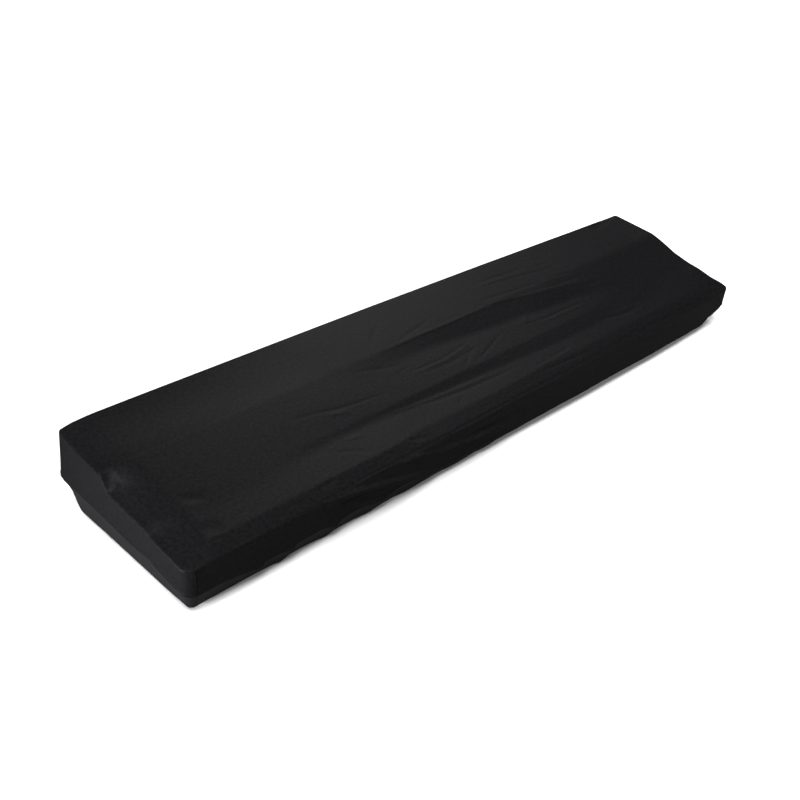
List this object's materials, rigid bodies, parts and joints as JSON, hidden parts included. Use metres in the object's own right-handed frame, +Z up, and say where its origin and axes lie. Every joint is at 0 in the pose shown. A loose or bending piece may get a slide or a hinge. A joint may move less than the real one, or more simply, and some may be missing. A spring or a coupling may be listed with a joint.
{
  "type": "fitted dust cover",
  "caption": "Black stretch-knit dust cover for a slab digital piano, hollow and open underneath, with a short tucked skirt.",
  "frame": {"origin": "underside of the cloth on the raised panel at the back, at half the length, where the instrument carries the cover", "axes": "+X along the keys to the player's right, +Y to the back of the instrument, +Z up"},
  "size_m": [1.3296, 0.3009, 0.137],
  "materials": {
    "black_knit": "matte fine knit"
  },
  "bodies": {
    "root": {"cover_cloth": "black_knit"}
  },
  "joints": []
}
